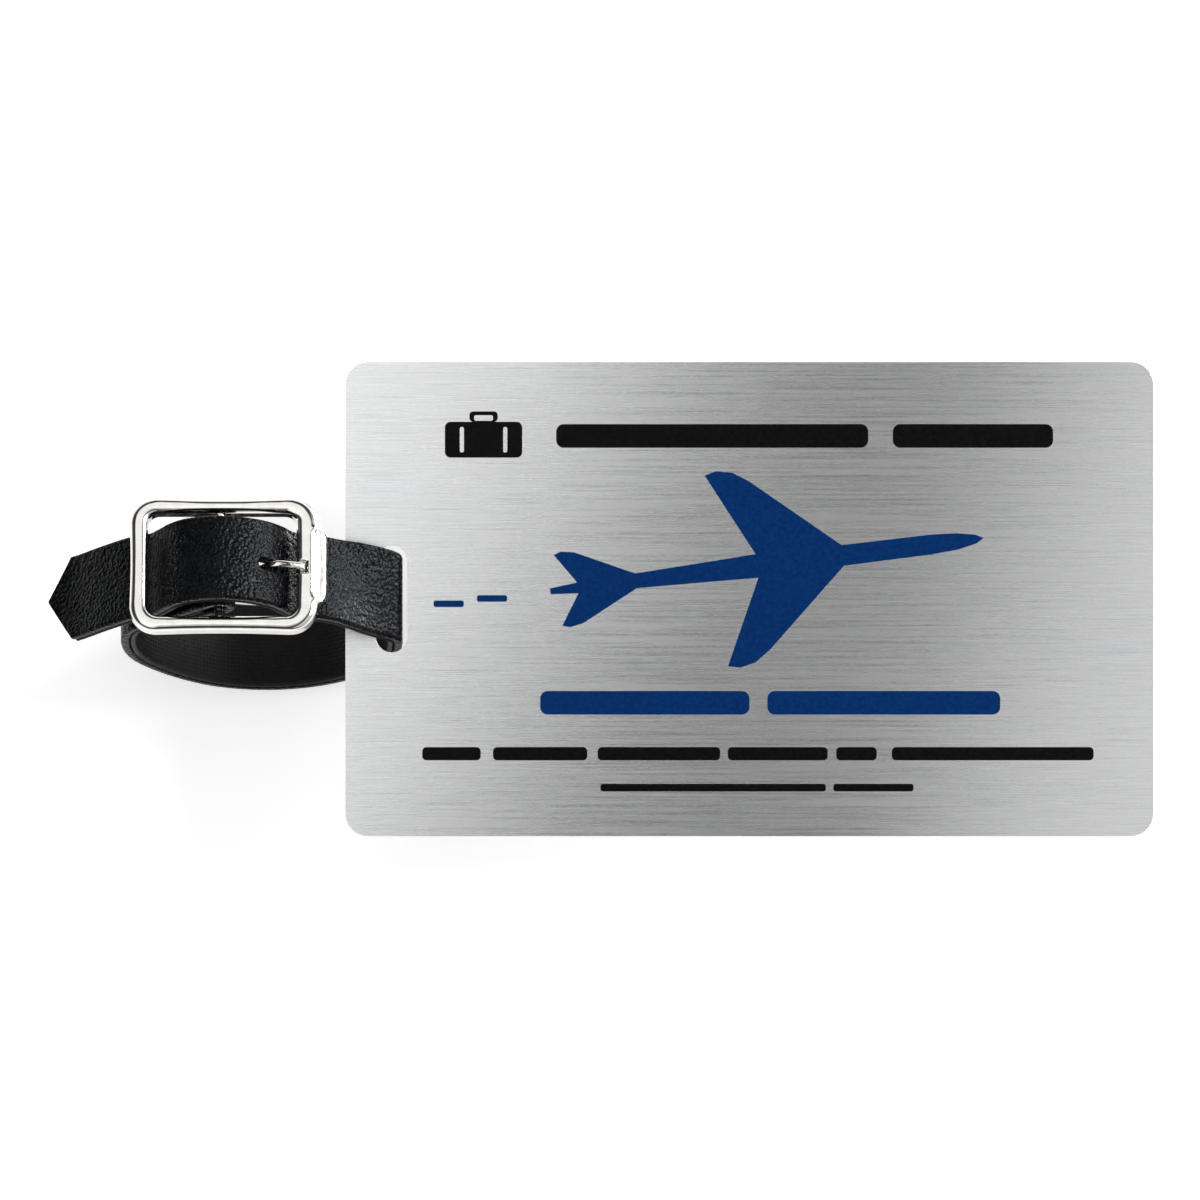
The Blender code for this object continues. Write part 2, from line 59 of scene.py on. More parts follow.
# Plate
PLATE_LENGTH = 85.7
PLATE_WIDTH = 50.3
PLATE_THICKNESS = 1.2
PLATE_CORNER_RADIUS = 2.4
PLATE_BEVEL = 0.38
SLOT_X = -37.95
SLOT_WIDTH = 3.3
SLOT_LENGTH = 11.3
FACE_Z = PLATE_THICKNESS / 2
INK_THICKNESS = 0.02
WELD_DISTANCE = 0.0005

# Strap: its outer face runs from the tail's end to the fold round the buckle's bar
STRAP_WIDTH = 9.3
LEATHER_THICKNESS = 0.9
BACKING_THICKNESS = 0.5
BOND_GAP = 0.1
LOOP_LEAN = math.radians(21)
TWIST_STARTS = 2.5
TWIST_ENDS = 9.5
LOOP_CENTRE = (-51.45, -0.6)
LOOP_RADIUS = 14.6
TAIL_POINTS = (
    (-76.2, -2.0),
    (-74.5, -1.0),
    (-71.9, 0.7),
    (-68.5, 4.0),
    (-65.3, 6.7),
    (-63.6, 7.45),
    (-62.6, 8.7),
    (-61.4, 10.4),
    (-59.8, 11.75),
    (-56.7, 12.7),
    (-53.6, 12.3),
    (-51.0, 11.1),
    (-49.3, 9.5),
    (-48.4, 8.2),
    (-47.5, 7.35),
    (-46.2, 6.85),
    (-44.6, 6.4),
    (-42.05, 4.85),
    (-39.75, 3.15),
)
RETURN_POINTS = (
    (-60.75, -11.75),
    (-63.4, -9.2),
    (-65.45, -6.4),
    (-66.4, -3.5),
    (-66.6, -0.6),
    (-66.35, 1.4),
    (-65.6, 3.05),
    (-64.4, 4.3),
)
LOOP_LAST_ANGLE = -115.0
SLOT_BEND_RADIUS = 2.6
SLOT_BEND_FIRST_ANGLE = 52.0
SLOT_BEND_RAISED = 0.3
TAIL_TIP_X = -74.5
TAIL_SHOULDER_X = -72.0
TAIL_TIP_HALF = 0.03
BAR_CENTRE = (-56.0, 9.2)
WRAP_RADIUS = 1.62
FOLD_SLOPE = math.radians(40)
FOLD_CLOSING = math.radians(18)
FOLD_STACK = 2 * LEATHER_THICKNESS + BACKING_THICKNESS + 2.5 * BOND_GAP
FIXED_STRAIGHT = 7.4
FOLD_BACK_LENGTH = 4.0
BACKING_STOPS_BEFORE_BAR = 2.0
SLIT_REACH = 2.9
SLIT_RADIUS = 1.75
SLIT_CLEARANCE = 0.25
RIVET_FROM_BAR = 4.3
RIVET_HOLE_RADIUS = 0.75
TAIL_PART_ENDS = 10.0
FIXED_PART_STARTS = 60.0
NO_OPENING = 9.0

# Buckle
FRAME_LEFT = -65.6
FRAME_RIGHT = -45.7
FRAME_LIP = -44.7
FRAME_MIDDLE_Y = 0.1
FRAME_HALF_HEIGHT = 7.6
FRAME_WAIST = 0.4
LEFT_BOW = 0.2
LEFT_BOW_RADIUS = 120
WAIST_RADIUS = 160
FRAME_LOW = 8.1
FRAME_HIGH = 10.5
FRAME_CORNER_RADIUS = 2.8
WINDOW_LEFT = -63.6
WINDOW_RIGHT = -47.9
WINDOW_HALF_HEIGHT = 5.85
WINDOW_CORNER_RADIUS = 1.3
LIP_HALF_HEIGHT = 4.0
LIP_SHOULDER = 0.5
LIP_BLEND = 0.7
PRONG_Y = -0.3
PRONG_WIDTH = 0.8
PRONG_THICKNESS = 0.5
PRONG_EYE_INNER = 0.68
PRONG_EYE_OUTER = 1.23
PRONG_POINTS = (
    (-55.1, 9.45),
    (-54.0, 9.45),
    (-52.3, 9.5),
    (-51.3, 10.05),
    (-50.6, 10.85),
    (-49.9, 11.2),
    (-49.1, 11.1),
    (-47.0, 10.42),
)
HOLE_X = -50.75
HOLE_LENGTH = 2.3
HOLE_WIDTH = 1.15
NOTCH_DEPTH = 0.73
NOTCH_WIDTH = 1.3
NOTCH_CLEARANCE = 0.12
NOTCH_SIDE_SLOPE = 0.16
NOTCH_END = -46.7
NOTCH_END_SLOPE = 0.25
FRAME_EDGE_ROUND = 0.72
NARROW_RAIL = 0.9
LIP_SLOPE_STARTS = -46.5
LIP_SLOPE_LENGTH = 1.4
LIP_DROP = 0.85
PRONG_TIP_LENGTH = 0.5
PRONG_TAPER = 0.12
PRONG_TAPER_STARTS = 3.0
PRONG_TAPER_LENGTH = 2.5

# Surface detail
STRAP_STEP = 0.15
METAL_STEP = 0.07
OUTLINE_SMOOTHING = 13
PEBBLE = 0.46
PEBBLE_HEIGHT = 0.07
THREAD = 0.46
THREAD_HEIGHT = 0.13
FLESH_CELL = (0.9, 0.7)
FLESH_HEIGHT = 0.015
CUT_EDGE_RADIUS = 0.22
RELIEF_FADES = 0.3

# Print
SUITCASE = (-28.2, 16.9)
INK_STEP = 15
JET_MIDDLE = (1.5, 3.6)
JET_LENGTH = 47
JET_SPAN = 21
JET_CLIMB = math.radians(7)
TRAIL_STARTS = -33.5
DASH_LENGTH = 3.2
DASH_SPACING = 4.6

# Stage, in metres
CAMERA_DISTANCE = 2.0
CAMERA_FIELD = 0.1273
CAMERA_AIM = (-0.01585, -0.0001)
SENSOR_WIDTH = 36


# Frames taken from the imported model

def named(items, name):
    return next(item for item in items if item["name"] == name)


def matrix_of(x_axis, y_axis, origin):
    axes = Matrix((x_axis, y_axis, x_axis.cross(y_axis))).transposed().to_4x4()
    return Matrix.Translation(origin) @ axes @ Matrix.Scale(MM, 4)


plate_low, plate_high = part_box("tag_plate")
plate_middle = (plate_low + plate_high) / 2
plate_normal = Vector(named(frame["record"]["mounts"], "plate_front")["axis"]).normalized()
plate_up = Vector((0, 1, 0))
plate_along = plate_up.cross(plate_normal)
loop_across = Vector(named(frame["joints"], "plate_travel")["axis"]).normalized()
plate_frame = matrix_of(plate_along, plate_up, plate_middle)
loop_frame = matrix_of(plate_along, loop_across, plate_middle)
plate_frame_metres = plate_frame @ Matrix.Scale(1 / MM, 4)


# Node materials

def new_material(name, colour, roughness, metallic=0.0):
    made = bpy.data.materials.new(name)
    made.use_nodes = True
    shader = made.node_tree.nodes["Principled BSDF"]
    shader.inputs["Base Color"].default_value = (*colour, 1.0)
    shader.inputs["Roughness"].default_value = roughness
    shader.inputs["Metallic"].default_value = metallic
    return made, made.node_tree, shader


def add_node(tree, kind, **settings):
    node = tree.nodes.new(kind)
    for name, value in settings.items():
        if name in node.inputs:
            node.inputs[name].default_value = value
        else:
            setattr(node, name, value)
    return node


def noise(tree, coordinates, scale, detail=3.0, stretch=(1, 1, 1)):
    mapping = add_node(tree, "ShaderNodeMapping", Scale=stretch)
    texture = add_node(tree, "ShaderNodeTexNoise", Scale=scale, Detail=detail)
    tree.links.new(coordinates, mapping.inputs["Vector"])
    tree.links.new(mapping.outputs["Vector"], texture.inputs["Vector"])
    return texture.outputs["Fac"]


def spread(tree, value, low, high, start=0.3, end=0.7):
    """Value from start to end, turned into one from low to high."""
    node = add_node(tree, "ShaderNodeMapRange")
    for name, number in (("From Min", start), ("From Max", end), ("To Min", low), ("To Max", high)):
        node.inputs[name].default_value = number
    tree.links.new(value, node.inputs["Value"])
    return node.outputs["Result"]


def shades(tree, value, dark, light, start=0.3, end=0.7):
    ramp = add_node(tree, "ShaderNodeValToRGB")
    ramp.color_ramp.elements[0].position = start
    ramp.color_ramp.elements[0].color = (*dark, 1)
    ramp.color_ramp.elements[1].position = end
    ramp.color_ramp.elements[1].color = (*light, 1)
    tree.links.new(value, ramp.inputs["Fac"])
    return ramp.outputs["Color"]


def bump(tree, shader, height, distance, strength=1.0):
    node = add_node(tree, "ShaderNodeBump", Strength=strength, Distance=distance)
    tree.links.new(height, node.inputs["Height"])
    tree.links.new(node.outputs["Normal"], shader.inputs["Normal"])


def brushed_face():
    """Fine scratches along the plate: the UV map holds (across, along) in decimetres."""
    made, tree, shader = new_material("brushed_face", (0.72, 0.725, 0.735), 0.3, 1.0)
    uv = add_node(tree, "ShaderNodeUVMap", uv_map="brush").outputs["UV"]
    fine = noise(tree, uv, 1.0, 4.0, (1500, 14, 1))
    broad = noise(tree, uv, 1.0, 3.0, (420, 4.5, 1))
    mixed = add_node(tree, "ShaderNodeMath", operation="ADD")
    tree.links.new(fine, mixed.inputs[0])
    tree.links.new(broad, mixed.inputs[1])
    both = mixed.outputs["Value"]
    tree.links.new(
        shades(tree, both, (0.64, 0.645, 0.66), (0.80, 0.805, 0.81), 0.72, 1.28),
        shader.inputs["Base Color"],
    )
    tree.links.new(spread(tree, broad, 0.23, 0.32), shader.inputs["Roughness"])
    bump(tree, shader, fine, 0.00002, 0.5)
    shader.inputs["Anisotropic"].default_value = 0.85
    tangent = add_node(tree, "ShaderNodeTangent", direction_type="UV_MAP", uv_map="brush")
    tree.links.new(tangent.outputs["Tangent"], shader.inputs["Tangent"])
    return made


def bright_rim():
    made, tree, shader = new_material("bright_rim", (0.86, 0.865, 0.87), 0.2, 1.0)
    uv = add_node(tree, "ShaderNodeUVMap", uv_map="brush").outputs["UV"]
    marks = noise(tree, uv, 260.0, 4.0)
    tree.links.new(spread(tree, marks, 0.14, 0.3), shader.inputs["Roughness"])
    bump(tree, shader, marks, 0.00001, 0.4)
    return made


def leather():
    made, tree, shader = new_material("black_leather", (0.004, 0.004, 0.005), 0.28)
    place = add_node(tree, "ShaderNodeTexCoord").outputs["Object"]
    blotch = noise(tree, place, 420.0, 4.0)
    pores = noise(tree, place, 5200.0, 3.0)
    swirl = noise(tree, place, 2200.0, 2.0)
    grain = add_node(tree, "ShaderNodeTexVoronoi", Scale=3100.0, feature="SMOOTH_F1", Randomness=1.0)
    tree.links.new(place, grain.inputs["Vector"])
    heights = ((grain.outputs["Distance"], -1.0), (swirl, 0.9), (pores, 0.35))
    total = None
    for value, share in heights:
        node = add_node(tree, "ShaderNodeMath", operation="MULTIPLY_ADD")
        node.inputs[1].default_value = share
        node.inputs[2].default_value = 0.0
        tree.links.new(value, node.inputs[0])
        if total is not None:
            tree.links.new(total, node.inputs[2])
        total = node.outputs["Value"]
    tree.links.new(
        shades(tree, blotch, (0.001, 0.001, 0.0013), (0.003, 0.003, 0.0036)),
        shader.inputs["Base Color"],
    )
    tree.links.new(spread(tree, blotch, 0.2, 0.3), shader.inputs["Roughness"])
    shader.inputs["Specular IOR Level"].default_value = 0.1
    shader.inputs["Specular Tint"].default_value = (0.8, 0.92, 1.0, 1)
    bump(tree, shader, total, 0.00014, 0.9)
    return made


def woven():
    made, tree, shader = new_material("woven_backing", (0.02, 0.02, 0.022), 0.6)
    place = add_node(tree, "ShaderNodeTexCoord").outputs["Object"]
    fibre = noise(tree, place, 3800.0, 4.0)
    tree.links.new(
        shades(tree, fibre, (0.001, 0.001, 0.001), (0.008, 0.008, 0.0085)),
        shader.inputs["Base Color"],
    )
    tree.links.new(spread(tree, fibre, 0.35, 0.6), shader.inputs["Roughness"])
    shader.inputs["Specular IOR Level"].default_value = 0.25
    bump(tree, shader, fibre, 0.00004, 0.5)
    return made


def nickel():
    made, tree, shader = new_material("nickel", (0.78, 0.76, 0.72), 0.08, 1.0)
    place = add_node(tree, "ShaderNodeTexCoord").outputs["Object"]
    ripple = noise(tree, place, 260.0, 2.0)
    haze = noise(tree, place, 900.0, 4.0)
    tree.links.new(
        shades(tree, haze, (0.70, 0.675, 0.635), (0.80, 0.785, 0.755)),
        shader.inputs["Base Color"],
    )
    tree.links.new(spread(tree, haze, 0.05, 0.13), shader.inputs["Roughness"])
    bump(tree, shader, ripple, 0.0001, 0.25)
    return made


def ink(name, dark, light):
    made, tree, shader = new_material(name, light, 0.4)
    place = add_node(tree, "ShaderNodeTexCoord").outputs["Object"]
    grain = noise(tree, place, 2600.0, 4.0)
    tree.links.new(shades(tree, grain, dark, light), shader.inputs["Base Color"])
    tree.links.new(spread(tree, grain, 0.34, 0.5), shader.inputs["Roughness"])
    shader.inputs["Specular IOR Level"].default_value = 0.05
    bump(tree, shader, grain, 0.00001, 0.5)
    return made


# Meshes and outlines

def add_object(name, data):
    made = bpy.data.objects.new(name, data)
    bpy.context.scene.collection.objects.link(made)
    return made


def mesh_of(name, points, faces, frame_matrix, material):
    """Piece from (n, 3) points in millimetres and (m, 3 or 4) faces."""
    mesh = bpy.data.meshes.new(name)
    sides = faces.shape[1]
    mesh.vertices.add(len(points))
    mesh.vertices.foreach_set("co", np.asarray(points, np.float32).ravel())
    mesh.loops.add(faces.size)
    mesh.loops.foreach_set("vertex_index", faces.astype(np.int32).ravel())
    mesh.polygons.add(len(faces))
    mesh.polygons.foreach_set("loop_start", np.arange(0, faces.size, sides, dtype=np.int32))
    mesh.update(calc_edges=True)
    mesh.transform(frame_matrix)
    mesh.shade_smooth()
    mesh.materials.append(material)
    return add_object(name, mesh)


def apply_modifiers(piece):
    bpy.context.view_layer.update()
    evaluated = piece.evaluated_get(bpy.context.evaluated_depsgraph_get())
    made = bpy.data.meshes.new_from_object(evaluated)
    piece.modifiers.clear()
    piece.data = made


def belongs(piece, body, slot, *nodes):
    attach(piece, body)
    if nodes:
        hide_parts(*nodes)


def arc(centre, radius, first, last, step=4.0):
    count = max(2, math.ceil(abs(last - first) / step))
    angles = np.radians(np.linspace(first, last, count + 1))
    return np.stack([centre[0] + radius * np.cos(angles), centre[1] + radius * np.sin(angles)], 1)


def rounded(corners, step=6.0):
    """Closed outline through (x, y, radius) corners, each rounded off with an arc."""
    outline = []
    for i, (x, y, radius) in enumerate(corners):
        corner = Vector((x, y))
        before = (Vector(corners[i - 1][:2]) - corner).normalized()
        after = (Vector(corners[(i + 1) % len(corners)][:2]) - corner).normalized()
        half = before.angle(after) / 2
        reach = radius / math.tan(half)
        centre = corner + (before + after).normalized() * (radius / math.sin(half))
        first = corner + before * reach - centre
        last = corner + after * reach - centre
        turn = math.atan2(first.cross(last), first.dot(last))
        count = max(6, math.ceil(abs(math.degrees(turn)) / step))
        for k in range(count + 1):
            a = math.atan2(first.y, first.x) + turn * k / count
            outline.append(tuple(centre + radius * Vector((math.cos(a), math.sin(a)))))
    return np.array(outline)


def box_outline(middle, half, radius, step=6.0, clockwise=False):
    """Rectangle with rounded corners about its middle, from its half sizes."""
    turns = ((-1, -1), (-1, 1), (1, 1), (1, -1)) if clockwise else ((-1, -1), (1, -1), (1, 1), (-1, 1))
    return rounded([(middle[0] + x * half[0], middle[1] + y * half[1], radius) for x, y in turns], step)


def smooth_line(knots, per_span=16):
    """Centripetal Catmull-Rom curve through the knots."""
    p = np.asarray(knots, float)
    p = np.vstack([2 * p[0] - p[1], p, 2 * p[-1] - p[-2]])
    p0, p1, p2, p3 = p[:-3], p[1:-2], p[2:-1], p[3:]
    root = [np.sqrt(np.linalg.norm(b - a, axis=1))[:, None] for a, b in ((p0, p1), (p1, p2), (p2, p3))]
    leave = (p2 - p1) + root[1] * ((p1 - p0) / root[0] - (p2 - p0) / (root[0] + root[1]))
    arrive = (p2 - p1) + root[1] * ((p3 - p2) / root[2] - (p3 - p1) / (root[1] + root[2]))
    t = (np.arange(per_span) / per_span)[None, :, None]
    blend = t * t * (3 - 2 * t)
    p1, p2, leave, arrive = (q[:, None, :] for q in (p1, p2, leave, arrive))
    curve = p1 + (p2 - p1) * blend + leave * t * (1 - t) ** 2 - arrive * t * t * (1 - t)
    return np.vstack([curve.reshape(-1, p.shape[1]), p[-2]])


def even_line(line, step):
    """The line at even steps, with how far along each point lies."""
    run = np.concatenate([[0], np.cumsum(np.linalg.norm(np.diff(line, axis=0), axis=1))])
    places = np.linspace(0, run[-1], max(2, round(run[-1] / step) + 1))
    return np.stack([np.interp(places, run, line[:, i]) for i in range(line.shape[1])], 1), places


def sideways(line, smoothing=3):
    """Unit vector to the right of the direction of travel, at each point."""
    along = np.gradient(line, axis=0)
    kernel = np.ones(2 * smoothing + 1) / (2 * smoothing + 1)
    padded = np.pad(along, ((smoothing, smoothing), (0, 0)), mode="edge")
    along = np.stack([np.convolve(padded[:, i], kernel, "valid") for i in range(2)], 1)
    along /= np.linalg.norm(along, axis=1)[:, None]
    return np.stack([along[:, 1], -along[:, 0]], 1)


def smoothstep(t):
    t = np.clip(t, 0, 1)
    return t * t * (3 - 2 * t)


def cells(x, y, seed):
    """Distances to the nearest and second nearest of points jittered on a unit grid."""
    rows, columns = 64, 512
    jitter = np.random.default_rng(seed).random((rows, columns, 2))
    column, row = np.floor(x).astype(int), np.floor(y).astype(int)
    near = np.full(x.shape, 9.0)
    second = near.copy()
    for i in (-1, 0, 1):
        for j in (-1, 0, 1):
            point = jitter[(row + j) % rows, (column + i) % columns]
            away = np.hypot(column + i + point[..., 0] - x, row + j + point[..., 1] - y)
            second = np.minimum(second, np.maximum(near, away))
            near = np.minimum(near, away)
    return near, second


# Strap

def strap_line():
    """Outer face of the strap at even steps, and how far along each point is."""
    bar = np.array(BAR_CENTRE)
    along = -np.array((math.cos(FOLD_SLOPE), math.sin(FOLD_SLOPE)))
    outward = np.array((-math.sin(FOLD_SLOPE), math.cos(FOLD_SLOPE)))
    bend = (LOOP_CENTRE[0] + LOOP_RADIUS - SLOT_BEND_RADIUS, LOOP_CENTRE[1] + SLOT_BEND_RAISED)
    into_slot = arc(bend, SLOT_BEND_RADIUS, SLOT_BEND_FIRST_ANGLE, 0, 8)
    round_part = np.vstack([into_slot, arc(LOOP_CENTRE, LOOP_RADIUS, 0, LOOP_LAST_ANGLE, 8)[1:]])
    touch = bar + WRAP_RADIUS * outward
    start, end = touch + FIXED_STRAIGHT * along, touch + BACKING_STOPS_BEFORE_BAR * along
    knots = np.vstack([TAIL_POINTS, round_part, RETURN_POINTS, start, (start + end) / 2, end])
    to_bar = smooth_line(knots)
    first = 90 + math.degrees(FOLD_SLOPE)
    fold = arc(BAR_CENTRE, WRAP_RADIUS, first, first - 180 - math.degrees(FOLD_CLOSING))
    turn = FOLD_SLOPE - FOLD_CLOSING
    to_close = (bar - fold[-1]) @ outward - (FOLD_STACK - WRAP_RADIUS)
    closing = -np.array((math.cos(turn), math.sin(turn)))
    closed = fold[-1] + closing * (to_close / math.sin(FOLD_CLOSING))
    whole = np.vstack([to_bar, fold, closed, closed + FOLD_BACK_LENGTH * along])
    line, places = even_line(whole, STRAP_STEP)
    kept = (line[:, 0] >= TAIL_TIP_X) | (places > TAIL_PART_ENDS)
    return line[kept], places[kept]


def strap_sheet(line, places):
    """Places across the strap at every point of the line, and how far each is from the cut edge."""
    half = STRAP_WIDTH / 2
    columns = half * np.linspace(-1, 1, round(STRAP_WIDTH / STRAP_STEP) + 1)
    slope = half / (TAIL_SHOULDER_X - TAIL_TIP_X)
    pointed = np.clip((line[:, 0] - TAIL_TIP_X) * slope, TAIL_TIP_HALF, half)
    reach = np.where(places < TAIL_PART_ENDS, pointed, half)
    widths = columns[None, :] * (reach / half)[:, None]
    return widths, reach[:, None] - np.abs(widths)


def oval_distance(along, across, length, width):
    """Distance outside an oval with round ends."""
    straight = (length - width) / 2
    return np.hypot(np.maximum(np.abs(along) - straight, 0), across) - width / 2


def past_bar(line):
    """How far each point lies past the buckle's bar, up the slope of the fold."""
    return (line - np.array(BAR_CENTRE)) @ np.array((math.cos(FOLD_SLOPE), math.sin(FOLD_SLOPE)))


def on_fixed_end(line, places, above):
    """Which points of the end that folds round the bar lie above a height."""
    return (places > FIXED_PART_STARTS) & (line[:, 1] > above)


def strap_opening(line, places, widths):
    """Distance outside the prong's hole, the slit for its eye and the rivet's hole."""
    on_top = (line[:, 1] > 9) & (places <= FIXED_PART_STARTS)
    to_hole = np.where(on_top, np.abs(line[:, 0] - HOLE_X), np.inf)
    hole_place = places[int(np.argmin(to_hole))]
    hole = oval_distance(places[:, None] - hole_place, widths - PRONG_Y, HOLE_LENGTH, HOLE_WIDTH)

    past = past_bar(line)
    round_bar = np.linalg.norm(line - np.array(BAR_CENTRE), axis=1) < SLIT_RADIUS
    by_bar = round_bar | ((past > -SLIT_REACH) & (past < 0))
    by_bar &= on_fixed_end(line, places, 4)
    slit = np.abs(widths - PRONG_Y) - PRONG_WIDTH / 2 - SLIT_CLEARANCE
    slit = np.where(by_bar[:, None], slit, NO_OPENING)

    rivet = np.hypot(past[:, None] + RIVET_FROM_BAR, widths) - RIVET_HOLE_RADIUS
    rivet = np.where(on_fixed_end(line, places, 0)[:, None], rivet, NO_OPENING)
    return np.minimum(np.minimum(hole, slit), rivet)


def sheet_faces(opening):
    """Faces of two facing sheets and of the walls that close them, with the openings left out."""
    rows, columns = opening.shape
    shift = rows * columns
    index = np.arange(shift).reshape(rows, columns)
    quads = np.stack([index[:-1, :-1], index[1:, :-1], index[1:, 1:], index[:-1, 1:]], -1)
    inside = (opening[:-1, :-1] + opening[1:, :-1] + opening[1:, 1:] + opening[:-1, 1:]) / 4 > 0
    top = quads[inside]
    pairs = np.concatenate([top[:, [i, (i + 1) % 4]] for i in range(4)])
    keys = np.sort(pairs, axis=1)
    order = keys[:, 0].astype(np.int64) * shift + keys[:, 1]
    _, first, count = np.unique(order, return_index=True, return_counts=True)
    rim = pairs[first[count == 1]]
    walls = np.stack([rim[:, 1], rim[:, 0], rim[:, 0] + shift, rim[:, 1] + shift], 1)
    return np.concatenate([top, top[:, ::-1] + shift, walls])


def strap_piece(name, top_depth, bottom_depth, last, material, top_relief, bottom_relief):
    """Closed solid between two depths under the strap's outer face, with its openings and pointed tail."""
    line, places = strap_line()
    side = sideways(line)
    from_slot = np.abs(places - places[int(np.argmax(line[:, 0]))])
    twist = LOOP_LEAN * (1 - smoothstep((from_slot - TWIST_STARTS) / (TWIST_ENDS - TWIST_STARTS)))
    line, places, side, twist = (q[:last] for q in (line, places, side, twist))
    widths, edge = strap_sheet(line, places)
    opening = strap_opening(line, places, widths)
    edge = np.minimum(edge, np.maximum(opening, 0))
    inward = np.maximum(CUT_EDGE_RADIUS - edge, 0)
    rounding = CUT_EDGE_RADIUS - np.sqrt(np.maximum(CUT_EDGE_RADIUS**2 - inward**2, 0))
    along = np.broadcast_to(places[:, None], widths.shape)
    sheets = []
    for depth, relief, sign in ((top_depth, top_relief, -1), (bottom_depth, bottom_relief, 1)):
        total = depth + sign * (relief(along, widths) * smoothstep(edge / RELIEF_FADES) - rounding)
        x = line[:, None, 0] + side[:, None, 0] * total
        y = widths * np.cos(twist)[:, None]
        z = line[:, None, 1] + side[:, None, 1] * total + widths * np.sin(twist)[:, None]
        sheets.append(np.stack([x, y, z], -1).reshape(-1, 3))
    points, faces = np.concatenate(sheets), sheet_faces(opening)
    used, compact = np.unique(faces, return_inverse=True)
    return mesh_of(name, points[used], compact.reshape(faces.shape), loop_frame, material)


def pebbles(along, across):
    """Leather grain: domed cells with creases between them, drawn out across the strap."""
    warp = 0.25 * np.sin(along * 1.9 + 0.7 * np.sin(across * 1.3)) + 0.2 * np.sin(across * 2.3 + along * 0.6)
    near, second = cells(along / PEBBLE + warp, across / (PEBBLE * 1.25) - warp, 11)
    crease = smoothstep((second - near) / 0.32)
    dome = 1 - 0.6 * near**2
    low = 0.25 * np.sin(along * 0.8 + 1.1) * np.sin(across * 0.9)
    return PEBBLE_HEIGHT * (crease * dome + 0.3 * low)


def flesh_side(along, across):
    near, second = cells(along / FLESH_CELL[0], across / FLESH_CELL[1], 5)
    return FLESH_HEIGHT * smoothstep((second - near) / 0.8)


def weave(along, across):
    """Plain weave: threads that pass over and under each other."""
    a, b = along / THREAD * math.pi, across / THREAD * math.pi
    over = np.sin(a) * np.sin(b)
    warp_thread = np.abs(np.sin(a)) ** 0.7 * (0.5 + 0.5 * np.sign(over) * np.abs(over) ** 0.5)
    weft_thread = np.abs(np.sin(b)) ** 0.7 * (0.5 - 0.5 * np.sign(over) * np.abs(over) ** 0.5)
    return THREAD_HEIGHT * np.maximum(warp_thread, weft_thread)


def plain(along, across):
    return np.zeros_like(across)


def build_strap():
    line, places = strap_line()
    at_end = (past_bar(line) > -BACKING_STOPS_BEFORE_BAR) & on_fixed_end(line, places, 6)
    lining_last = int(np.argmax(at_end))
    face = strap_piece("strap_leather_face", 0.0, LEATHER_THICKNESS, None, leather(), pebbles, flesh_side)
    belongs(face, "strap", "black_leather", "strap_leather")
    top = LEATHER_THICKNESS + BOND_GAP / 2
    bottom = top + BACKING_THICKNESS
    lining = strap_piece("strap_woven_lining", top, bottom, lining_last, woven(), plain, weave)
    belongs(lining, "strap", "woven_backing", "strap_backing")


# Buckle

def reach_of(outline, middle, angles):
    """How far the outline lies from the middle in each direction."""
    rays = np.stack([np.cos(angles), np.sin(angles)], 1)
    a = outline - middle
    b = np.roll(outline, -1, axis=0) - middle
    found = np.zeros(len(angles))
    for k, ray in enumerate(rays):
        cross_a = ray[0] * a[:, 1] - ray[1] * a[:, 0]
        cross_b = ray[0] * b[:, 1] - ray[1] * b[:, 0]
        hit = (cross_a * cross_b <= 0) & ((a @ ray + b @ ray) > 0) & (cross_a != cross_b)
        share = (cross_a / (cross_a - cross_b))[hit][:, None]
        found[k] = ((a[hit] * (1 - share) + b[hit] * share) @ ray).max()
    return found


def grid_faces(rows, columns):
    """Faces of a grid that closes on itself both ways."""
    i, j = np.meshgrid(np.arange(rows), np.arange(columns), indexing="ij")
    nexts, downs = (i + 1) % rows, (j + 1) % columns
    quads = [i * columns + j, nexts * columns + j, nexts * columns + downs, i * columns + downs]
    return np.stack(quads, -1).reshape(-1, 4)


def power(value, exponent):
    return np.sign(value) * np.abs(value) ** exponent


def section_of():
    """Square section with round corners, as shares of its straight halves and of its corner radius."""
    places = []
    for k, (across, up) in enumerate(((1, 1), (-1, 1), (-1, -1), (1, -1))):
        for a in np.radians(90 * k + np.linspace(0, 90, 9)):
            places.append((across, math.cos(a), up, math.sin(a)))
        turn = math.radians(90 * (k + 1))
        nx, ny = round(math.cos(turn)), round(math.sin(turn))
        for share in np.linspace(0.9, -0.9, 10):
            here = share * (across if ny else up)
            places.append((here, nx, ny, ny) if ny else (nx, nx, here, ny))
    return np.array(places).T


